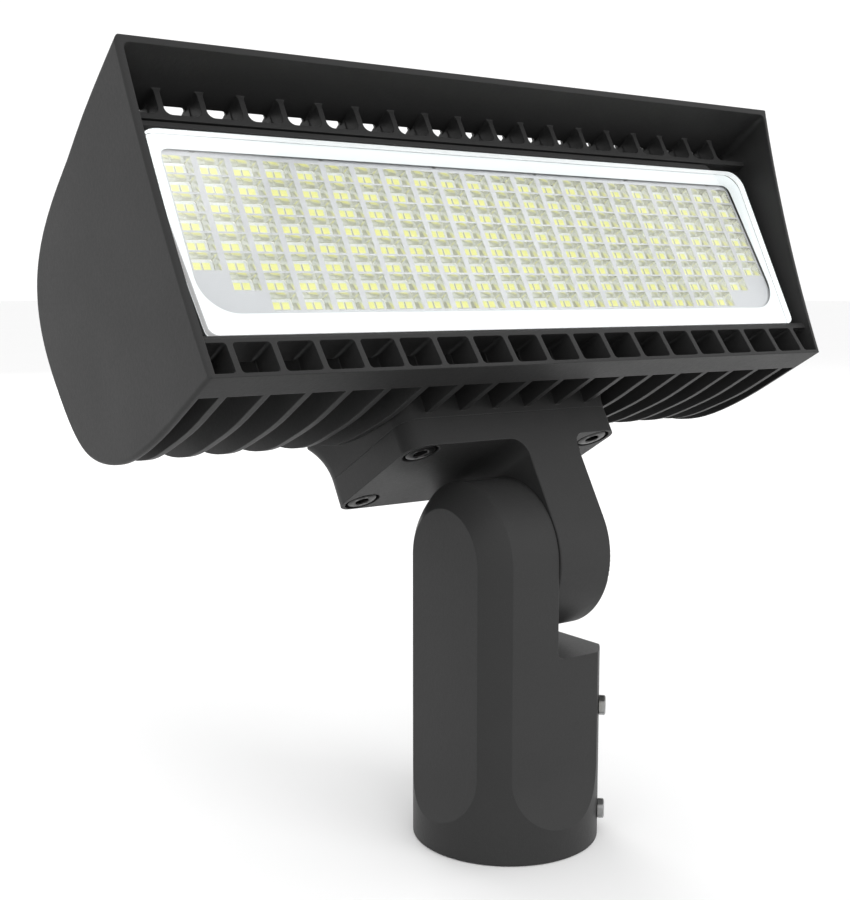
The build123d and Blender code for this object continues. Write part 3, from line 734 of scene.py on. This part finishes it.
@dataclass
class Optics:
    """Reflector tray, packages and pane behind and over the window."""

    glass_front: float = 72.7
    glass_back: float = 69.5
    print_gap: float = 0.06
    tray_front: float = 68.3
    tray_back: float = 64.2
    tray_half_width: float = 152.8
    tray_floor: float = 22.9
    tray_top: float = 103.1
    tray_top_corner: float = 3.7
    tray_bottom_corner: float = 7.7
    columns: int = 22
    rows: int = 8
    stepped_cells: int = 2
    pitch_x: float = 13.891
    pitch_y: float = 8.238
    middle: float = 64.5
    mouth_half_x: float = 5.665
    mouth_half_y: float = 3.7
    floor_half_x: float = 5.1
    floor_half_y: float = 3.1
    floor_corner: float = 1.6
    mouth_corner: float = 0.25
    wall_levels: tuple[float, ...] = (0.0, 0.35, 0.6, 0.78, 0.9, 0.97, 1.0)
    pocket_steps: int = 16
    screw_columns: tuple[int, ...] = (-10, -6, -2, 2, 6, 10)
    screw_inset: float = 2.4
    screw_seat_depth: float = 1.5
    screw_seat_radius: float = 2.05
    screw_hole_radius: float = 1.3
    package_half: float = 1.65
    package_height: float = 0.7
    package_chamfer: float = 0.12
    phosphor_depth: float = 0.04
    package_offset: float = 1.95
    package_rim: float = 0.16
    glass_floor: float = 20.0
    glass_top: float = 105.6
    glass_half_floor: float = 154.35
    glass_half_top: float = 161.84
    glass_bottom_corner: float = 3.5
    glass_top_corner: float = 9.0
    glass_arris: float = 0.4
    arris_steps: int = 2
    arris_angle: float = math.radians(12.0)
    polished_level: float = 0.9

    def cell_places(self) -> list[Matrix]:
        """Where the cells are: the rows step in at the two lower corners."""
        places = []
        for column in range(self.columns):
            from_edge = min(column, self.columns - 1 - column)
            for row in range(max(0, self.stepped_cells - from_edge), self.rows):
                x = (column - (self.columns - 1) / 2) * self.pitch_x
                y = self.middle + (row - (self.rows - 1) / 2) * self.pitch_y
                places.append(Matrix.Translation((x, y, 0.0)))
        return places

    def screw_places(self) -> list[Matrix]:
        """Where the screws go through the tray."""
        heights = (self.tray_floor + self.screw_inset, self.tray_top - self.screw_inset)
        across = [column * self.pitch_x for column in self.screw_columns]
        return [Matrix.Translation((x, y, 0.0)) for x in across for y in heights]

    def pocket(self) -> bmesh.types.BMesh:
        """One cell's wall: upright at the mouth, curving in towards the board."""
        sections = []
        for level in self.wall_levels:
            inward = 1 - math.sqrt(1 - level**2)
            sections.append(
                RoundedSection(
                    self.tray_front + (self.tray_back - self.tray_front) * level,
                    self.mouth_half_x + (self.floor_half_x - self.mouth_half_x) * inward,
                    self.mouth_half_y + (self.floor_half_y - self.mouth_half_y) * inward,
                    self.mouth_corner + (self.floor_corner - self.mouth_corner) * math.sqrt(level),
                )
            )
        work = bmesh.new()
        loft(work, sections, self.pocket_steps, (False, False))
        for wall in work.faces:
            wall.material_index = 1
        return work

    def screw_hole(self) -> bmesh.types.BMesh:
        """Counterbore and hole of one screw."""
        seat = self.tray_front - self.screw_seat_depth
        work = bmesh.new()
        sections = [
            Ring(self.tray_front, self.screw_seat_radius),
            Ring(seat, self.screw_seat_radius),
            Ring(seat, self.screw_hole_radius),
            Ring(self.tray_back, self.screw_hole_radius),
        ]
        loft(work, sections, self.pocket_steps, (False, False))
        return work

    def reflector(self) -> None:
        """Tray with curved pockets, closed at its face, its back and its rim."""
        work = self.pocket()
        copies(work, self.cell_places())
        holes = self.screw_hole()
        copies(holes, self.screw_places())
        hole_mesh = bpy.data.meshes.new("screw_holes")
        holes.to_mesh(hole_mesh)
        holes.free()
        work.from_mesh(hole_mesh)
        bpy.data.meshes.remove(hole_mesh)
        half = self.tray_half_width
        rim = rounded_quad(
            work,
            half,
            half,
            self.tray_floor,
            self.tray_top,
            self.tray_bottom_corner,
            self.tray_top_corner,
        )
        bmesh.ops.translate(work, verts=rim.verts, vec=(0.0, 0.0, self.tray_front))
        rim_edges = list(rim.edges)
        bmesh.ops.delete(work, geom=[rim], context="FACES_ONLY")
        walls = bmesh.ops.extrude_edge_only(work, edges=rim_edges)
        lower = [item for item in walls["geom"] if isinstance(item, bmesh.types.BMVert)]
        bmesh.ops.translate(work, verts=lower, vec=(0.0, 0.0, self.tray_back - self.tray_front))
        for height, facing in ((self.tray_front, 1.0), (self.tray_back, -1.0)):
            bmesh.ops.triangle_fill(
                work,
                edges=[edge for edge in work.edges if edge.is_boundary and lies_at(edge, height)],
                normal=(0.0, 0.0, facing),
                use_beauty=True,
            )
        finishes = (TRAY_FACE, TRAY_POCKET)
        tray = Piece("reflector_tray", Body.HEAD, "metallised_tray", OPTICS, finishes, ("reflector_grid",))
        tray.finish(work)

    def packages(self) -> None:
        """Two packages in each cell: a moulded frame with the phosphor a little below its rim."""
        work = bmesh.new()
        size = (2 * self.package_half, 2 * self.package_half, self.package_height)
        low = self.tray_back
        centre = Matrix.Translation((0.0, 0.0, low + self.package_height / 2))
        bmesh.ops.create_cube(work, size=1.0, matrix=centre @ Matrix.Diagonal((*size, 1.0)))
        top = max(work.faces, key=lambda face: face.calc_center_median().z)
        bmesh.ops.bevel(
            work,
            geom=list(top.edges),
            offset=self.package_chamfer,
            segments=1,
            affect="EDGES",
            profile=0.5,
            material=-1,
        )
        top = max(work.faces, key=lambda face: face.calc_center_median().z)
        bmesh.ops.inset_individual(work, faces=[top], thickness=self.package_rim, depth=-self.phosphor_depth)
        top.material_index = 1
        sides = [Matrix.Translation((side * self.package_offset, 0.0, 0.0)) for side in (-1, 1)]
        copies(work, [cell @ side for cell in self.cell_places() for side in sides])
        finishes = (PACKAGE_FRAME, Phosphor())
        packages = Piece("led_packages_detailed", Body.HEAD, "phosphor", OPTICS, finishes, ("led_packages",))
        packages.finish(work)

    def pane(self) -> None:
        """Pane with round corners and a ground arris."""
        work = bmesh.new()
        face = rounded_quad(
            work,
            self.glass_half_floor,
            self.glass_half_top,
            self.glass_floor,
            self.glass_top,
            self.glass_bottom_corner,
            self.glass_top_corner,
        )
        back = self.glass_back + self.print_gap
        bmesh.ops.translate(work, verts=face.verts, vec=(0.0, 0.0, back))
        raised = bmesh.ops.extrude_face_region(work, geom=[face], use_keep_orig=True)
        upper = [item for item in raised["geom"] if isinstance(item, bmesh.types.BMVert)]
        bmesh.ops.translate(work, verts=upper, vec=(0.0, 0.0, self.glass_front - back))
        flat_edges = [edge for edge in work.edges if lies_at(edge, edge.verts[0].co.z)]
        bmesh.ops.bevel(
            work,
            geom=flat_edges,
            offset=self.glass_arris,
            segments=self.arris_steps,
            affect="EDGES",
            profile=0.5,
            material=-1,
        )
        bmesh.ops.recalc_face_normals(work, faces=work.faces)
        for side in work.faces:
            side.material_index = 0 if abs(side.normal.z) > self.polished_level else 1
        finishes = (ClearGlass(), GroundEdge())
        hidden = ("glass_lens",)
        pane = Piece("glass_pane", Body.HEAD, "clear_glass", OPTICS, finishes, hidden, self.arris_angle)
        pane.finish(work)

    def build(self) -> None:
        """Makes the optics."""
        self.reflector()
        self.packages()
        self.pane()


def lies_at(edge: bmesh.types.BMEdge, height: float) -> bool:
    """Whether both ends of an edge are at a height."""
    return all(abs(vertex.co.z - height) < MERGE_DISTANCE for vertex in edge.verts)


def rounded_quad(
    work: bmesh.types.BMesh,
    floor_half: float,
    top_half: float,
    floor: float,
    top: float,
    floor_corner: float,
    top_corner: float,
) -> bmesh.types.BMFace:
    """Symmetric four-sided face with round corners.

    Args:
        work: Mesh that gets the face.
        floor_half: Half its width at the bottom.
        top_half: Half its width at the top.
        floor: Height of its bottom.
        top: Height of its top.
        floor_corner: Radius of the bottom corners.
        top_corner: Radius of the top corners.

    Returns:
        The face.
    """
    corners = [(-floor_half, floor), (floor_half, floor), (top_half, top), (-top_half, top)]
    face = work.faces.new([work.verts.new((x, y, 0.0)) for x, y in corners])
    for height, radius in ((floor, floor_corner), (top, top_corner)):
        bmesh.ops.bevel(
            work,
            geom=[vertex for vertex in face.verts if abs(vertex.co.y - height) < MERGE_DISTANCE],
            offset=radius,
            segments=CORNER_STEPS,
            affect="VERTICES",
            profile=0.5,
            material=-1,
        )
        face = next(item for item in work.faces if len(item.verts) > 4 and lies_flat_at_zero(item))
    return face


def lies_flat_at_zero(face: bmesh.types.BMFace) -> bool:
    """Whether all of a face is at height 0."""
    return all(abs(vertex.co.z) < MERGE_DISTANCE for vertex in face.verts)


@dataclass
class Fastener:
    """Screw or bolt drawn along +Z: its head starts at 0 and the shank runs up from the seat.

    The crown and the break at the seat are shares of the chamfer.
    """

    head_radius: float
    head_height: float
    shank_radius: float
    shank_length: float
    head: Outline = Outline.ROUND
    socket_radius: float = 0.0
    socket_depth: float = 0.0
    countersink: float = 1.17
    chamfer: float = 0.5
    crown_angle: float = math.radians(30.0)
    crown_height: float = 0.6
    break_height: float = 0.2
    break_width: float = 0.3
    thread_pitch: float = 0.0
    thread_depth: float = 0.0
    steps: int = 36

    def head_rings(self) -> list[Ring]:
        """Rings from the socket's floor out over the head to its seat."""
        rings = []
        if self.socket_radius:
            rings.append(Ring(self.socket_depth, self.socket_radius, Outline.HEXAGON))
            rings.append(Ring(self.chamfer / 2, self.socket_radius, Outline.HEXAGON))
            rings.append(Ring(0.0, self.socket_radius * self.countersink))
        droop = -math.tan(self.crown_angle) if self.head is Outline.HEXAGON else 0.0
        rings.append(Ring(0.0, self.head_radius - self.chamfer))
        rings.append(Ring(self.chamfer * self.crown_height, self.head_radius, self.head, droop))
        seat = self.head_height - self.chamfer * self.break_height
        rings.append(Ring(seat, self.head_radius, self.head))
        rings.append(Ring(self.head_height, self.head_radius - self.chamfer * self.break_width))
        return rings

    def shank_rings(self) -> list[Ring]:
        """Rings along the shank, ridged where it is threaded."""
        end = self.head_height + self.shank_length
        rings = [Ring(self.head_height, self.shank_radius)]
        if self.thread_pitch:
            ridges = int(self.shank_length / self.thread_pitch) - 1
            for ridge in range(ridges):
                start = self.head_height + (ridge + 0.5) * self.thread_pitch
                rings.append(Ring(start, self.shank_radius))
                rings.append(Ring(start + self.thread_pitch / 2, self.shank_radius - self.thread_depth))
        rings.append(Ring(end - self.chamfer, self.shank_radius))
        rings.append(Ring(end, self.shank_radius - self.chamfer))
        return rings

    def mesh(self) -> bmesh.types.BMesh:
        """The whole fastener as one closed mesh."""
        work = bmesh.new()
        loft(work, self.head_rings() + self.shank_rings(), self.steps, (True, True))
        return work


@dataclass
class Knuckle:
    """Fasteners of the knuckle that show, with their chamfers, sockets and threads."""

    plate_bolt: Fastener = field(
        default_factory=lambda: Fastener(
            6.5, 8.0, 4.0, 20.0, socket_radius=3.0, socket_depth=4.0, chamfer=0.6
        )
    )
    clamp_screw: Fastener = field(
        default_factory=lambda: Fastener(
            4.0, 2.9, 2.5, 9.95, head=Outline.HEXAGON, chamfer=0.45, thread_pitch=0.8, thread_depth=0.45
        )
    )
    pivot_bolt: Fastener = field(
        default_factory=lambda: Fastener(
            9.0, 7.5, 6.0, 45.0, head=Outline.HEXAGON, chamfer=0.9, thread_pitch=1.75, thread_depth=0.9
        )
    )
    bolt_half_x: float = 47.6
    bolt_half_y: float = 25.5
    bolt_seat: float = 48.0
    barrel_radius: float = 41.0
    clamp_heights: tuple[float, ...] = (11.6, 58.5)
    clamp_azimuths: tuple[float, ...] = (-45.0, 45.0)
    pivot_seat_x: float = 25.8
    spring_inner: float = 6.05
    spring_outer: float = 10.5
    spring_thickness: float = 2.0
    spring_gap: float = 9.0
    spring_steps: int = 60

    def plate_bolts(self) -> None:
        """Four socket bolts up through the plate."""
        work = self.plate_bolt.mesh()
        start = self.bolt_seat - self.plate_bolt.head_height
        places = []
        for x in (-self.bolt_half_x, self.bolt_half_x):
            for y in (-self.bolt_half_y, self.bolt_half_y):
                places.append(Matrix.Translation((x, y, start)))
        copies(work, places)
        bolts = Piece("socket_bolts", Body.HEAD, "black_steel", ARM, (BLACK_STEEL,), ("plate_bolts",))
        bolts.finish(work)

    def clamp_screws(self) -> None:
        """Hexagon-head screws through the barrel's wall."""
        work = self.clamp_screw.mesh()
        reach = self.barrel_radius + self.clamp_screw.head_height
        places = []
        for azimuth in self.clamp_azimuths:
            turn = Matrix.Rotation(math.radians(azimuth), 4, "Z")
            for height in self.clamp_heights:
                outside = turn @ Matrix.Translation((reach, 0.0, height))
                places.append(outside @ INWARD)
        copies(work, places)
        hidden = ("tenon_clamp_screws",)
        screws = Piece("clamp_screws", Body.BASE, "zinc_steel", WORLD, (ZINC_STEEL,), hidden)
        screws.finish(work)

    def pivot(self) -> None:
        """Hexagon bolt along the pivot."""
        work = self.pivot_bolt.mesh()
        outside = self.pivot_seat_x + self.pivot_bolt.head_height
        place = Matrix.Translation((outside, 0.0, 0.0)) @ INWARD
        bmesh.ops.transform(work, matrix=place, verts=work.verts)
        bolt = Piece("pivot_hex_bolt", Body.BASE, "zinc_steel", KNUCKLE, (ZINC_STEEL,), ("pivot_bolt",))
        bolt.finish(work)

    def spring_washer(self) -> None:
        """Split washer under the bolt's head."""
        work = bmesh.new()
        middle = (self.spring_inner + self.spring_outer) / 2
        width = self.spring_outer - self.spring_inner
        centre = Matrix.Translation((middle, 0.0, self.spring_thickness / 2))
        upright = Matrix.Rotation(math.pi / 2, 4, "X")
        section = centre @ upright @ Matrix.Diagonal((width, self.spring_thickness, 1.0, 1.0))
        bmesh.ops.create_grid(work, x_segments=1, y_segments=1, size=0.5, matrix=section)
        bmesh.ops.spin(
            work,
            geom=work.verts[:] + work.faces[:],
            cent=(0.0, 0.0, 0.0),
            axis=(0.0, 0.0, 1.0),
            angle=math.radians(360.0 - self.spring_gap),
            steps=self.spring_steps,
            use_merge=False,
            use_duplicate=False,
        )
        bmesh.ops.transform(work, matrix=ALONG_X, verts=work.verts)
        inner_face = self.pivot_seat_x - self.spring_thickness
        bmesh.ops.translate(work, verts=work.verts, vec=(inner_face, 0.0, 0.0))
        hidden = ("pivot_spring_washer",)
        washer = Piece("split_washer", Body.BASE, "zinc_steel", KNUCKLE, (ZINC_STEEL,), hidden)
        washer.finish(work)

    def build(self) -> None:
        """Makes the fasteners."""
        self.plate_bolts()
        self.clamp_screws()
        self.pivot()
        self.spring_washer()


def dress_solids() -> None:
    """Gives every solid that stays the finish of its slot."""
    for subpart in frame["record"]["subparts"]:
        solid = frame["nodes"][subpart["node"]]
        finish = FINISH_OF_SLOT[subpart["material_slot"]]
        for slot in solid.material_slots:
            slot.material = finish.material()
        LOG.info("%s: dressed in %s", solid.name, finish.name)


@dataclass
class SoftLight:
    """Square lamp that points at the object's middle, left out of the mirrors."""

    name: str
    place: tuple[float, float, float]
    size: float
    power: float

    def build(self, target: Vector) -> None:
        """Adds the lamp."""
        data = bpy.data.lights.new(self.name, "AREA")
        data.shape = "SQUARE"
        data.size = self.size
        data.energy = self.power
        lamp = bpy.data.objects.new(self.name, data)
        bpy.context.scene.collection.objects.link(lamp)
        lamp.visible_glossy = False
        lamp.location = self.place
        lamp.rotation_euler = (target - lamp.location).to_track_quat("-Z", "Y").to_euler()


@dataclass(frozen=True)
class Glow:
    """Soft-edged disc of light that shows in the gloss of one piece only."""

    name: str
    place: tuple[float, float, float]
    half_width: float
    half_height: float
    strength: float
    seen_in: str
    steps: int = 48

    def finish(self) -> bpy.types.Material:
        """Light that fades towards the disc's rim."""
        shader = Shader(self.name)
        settings = {"gradient_type": "SPHERICAL"}
        fade = shader.node("ShaderNodeTexGradient", settings, {"Vector": shader.place()})
        brightness = Signal(shader, fade.outputs[1]).between(0.0, 1.0)
        return shader.surface(
            {
                "Base Color": grey(0.0),
                "Specular IOR Level": 0.0,
                "Emission Color": shader.mix(grey(0.0), grey(1.0), brightness),
                "Emission Strength": self.strength,
            }
        )

    def build(self, target: Vector) -> None:
        """Adds the disc, turned towards the target."""
        work = bmesh.new()
        bmesh.ops.create_circle(work, cap_ends=True, radius=1.0, segments=self.steps)
        mesh = bpy.data.meshes.new(self.name)
        work.to_mesh(mesh)
        work.free()
        mesh.materials.append(self.finish())
        disc = bpy.data.objects.new(self.name, mesh)
        bpy.context.scene.collection.objects.link(disc)
        disc.location = self.place
        disc.rotation_euler = (target - disc.location).to_track_quat("Z", "Y").to_euler()
        disc.scale = (self.half_width, self.half_height, 1.0)
        disc.visible_camera = False
        disc.visible_diffuse = False
        disc.visible_shadow = False
        lit = bpy.data.collections.new(self.name)
        lit.objects.link(bpy.data.objects[self.seen_in])
        disc.light_linking.receiver_collection = lit


@dataclass
class Studio:
    """Pale round floor under a pale sky, soft lights and the camera."""

    floor_height: float = -0.0004
    floor_radius: float = 30.0
    floor_steps: int = 96
    floor_tone: float = 0.84
    floor_roughness: float = 0.9
    mottle_tone: float = 1.02
    mottle_size: float = 0.4
    sky_above: float = 1.1
    sky_below: float = 0.25
    dusk_low: float = -0.2
    dusk_high: float = -0.02
    camera_place: tuple[float, float, float] = (-0.36275, -0.44119, 0.23884)
    camera_aim: tuple[float, float, float] = (0.5814, 0.8047, -0.1198)
    sensor: float = 36.0
    focal_pixels: float = 1327.24
    picture_height: int = 900
    nearest: float = 0.01
    lights: tuple[SoftLight, ...] = (
        SoftLight("key_light", (-0.9, -1.9, 2.2), 1.4, 11.0),
        SoftLight("front_light", (0.8, -2.4, 1.6), 1.4, 22.0),
        SoftLight("rear_light", (0.6, 2.6, 1.6), 1.6, 26.0),
    )
    glows: tuple[Glow, ...] = (
        Glow("pane_glow", (0.76, -0.84, 2.45), 0.42, 0.6, 10.0, "glass_pane"),
        Glow("tray_glow", (1.5, -0.9, 2.0), 0.3, 0.9, 8.0, "reflector_tray"),
    )

    def floor(self) -> None:
        """Wide round floor that doesn't light the undersides."""
        work = bmesh.new()
        place = Matrix.Translation((0.0, 0.0, self.floor_height))
        bmesh.ops.create_circle(
            work, cap_ends=True, radius=self.floor_radius, segments=self.floor_steps, matrix=place
        )
        mesh = bpy.data.meshes.new("floor")
        work.to_mesh(mesh)
        work.free()
        shader = Shader("pale_floor")
        mottle = shader.noise(shader.place(), self.mottle_size)
        mottled = grey(self.floor_tone * self.mottle_tone)
        mesh.materials.append(
            shader.surface(
                {
                    "Base Color": shader.mix(grey(self.floor_tone), mottled, mottle),
                    "Roughness": self.floor_roughness,
                }
            )
        )
        floor = bpy.data.objects.new("floor", mesh)
        bpy.context.scene.collection.objects.link(floor)
        floor.visible_diffuse = False

    def camera(self) -> None:
        """Camera at the photograph's angle."""
        data = bpy.data.cameras.new("camera")
        data.sensor_width = self.sensor
        data.lens = self.focal_pixels / self.picture_height * self.sensor
        data.clip_start = self.nearest
        camera = bpy.data.objects.new("camera", data)
        bpy.context.scene.collection.objects.link(camera)
        camera.location = self.camera_place
        camera.rotation_euler = Vector(self.camera_aim).to_track_quat("-Z", "Y").to_euler()
        bpy.context.scene.camera = camera

    def sky(self) -> None:
        """Pale sky that darkens from just below the horizon down."""
        world = bpy.data.worlds.new("sky")
        sky = Tree(world)
        direction = sky.node("ShaderNodeTexCoord").outputs["Generated"]
        height = Signal(sky, sky.node("ShaderNodeSeparateXYZ", None, {0: direction}).outputs["Z"])
        daylight = height.between(self.dusk_low, self.dusk_high)
        strength = daylight * (self.sky_above - self.sky_below) + self.sky_below
        background = sky.node("ShaderNodeBackground", None, {"Color": grey(1.0), "Strength": strength})
        sky.node("ShaderNodeOutputWorld", None, {"Surface": background.outputs[0]})
        bpy.context.scene.world = world
        bpy.context.scene.view_settings.view_transform = "Standard"

    def build(self) -> None:
        """Makes the room."""
        self.floor()
        self.camera()
        self.sky()
        middle = (CAD_BOX[0] + CAD_BOX[1]) / 2
        for light in self.lights + self.glows:
            light.build(middle)


def main() -> None:
    """Builds the looks in order."""
    logging.basicConfig(level=logging.INFO, format="%(message)s")
    dress_solids()
    Optics().build()
    Knuckle().build()
    Studio().build()


if __name__ == "__main__":
    main()
